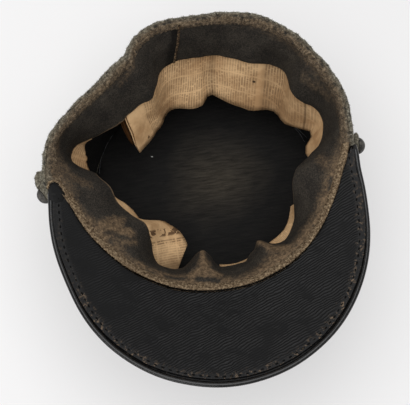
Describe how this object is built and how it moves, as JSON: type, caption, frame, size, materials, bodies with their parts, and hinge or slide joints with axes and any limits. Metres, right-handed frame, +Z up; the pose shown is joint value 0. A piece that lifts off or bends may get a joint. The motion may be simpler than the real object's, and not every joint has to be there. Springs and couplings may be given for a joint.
{
  "type": "kepi cap",
  "caption": "Cloth kepi cap lying on its flat crown, with an open leather sweatband ring, folded paper padding behind it, a curved leather peak and a chin strap with buttons.",
  "frame": {"origin": "centre of the crown top's outer face, on which the cap lies", "axes": "+Z up, from the crown to the open rim; the peak points along -Y and the back of the cap is at +Y"},
  "size_m": [0.2082, 0.2339, 0.1066],
  "materials": {
    "wool": "grey-green felted wool cloth",
    "cotton": "black lining cotton",
    "sweat_leather": "black leather worn brown",
    "newsprint": "yellowed printed paper",
    "patent_leather": "glossy black",
    "grained_leather": "black, fine diagonal grain",
    "button_metal": "dull black"
  },
  "bodies": {
    "root": {"crown_top": "wool", "crown_side": "wool", "lining_top": "cotton", "lining_side": "cotton", "sweatband": "sweat_leather", "paper_back": "newsprint", "paper_front": "newsprint", "paper_left": "newsprint", "paper_right": "newsprint", "peak": "patent_leather", "peak_lining": "grained_leather", "chin_strap": "wool", "button_left": "button_metal", "button_right": "button_metal"}
  },
  "joints": []
}
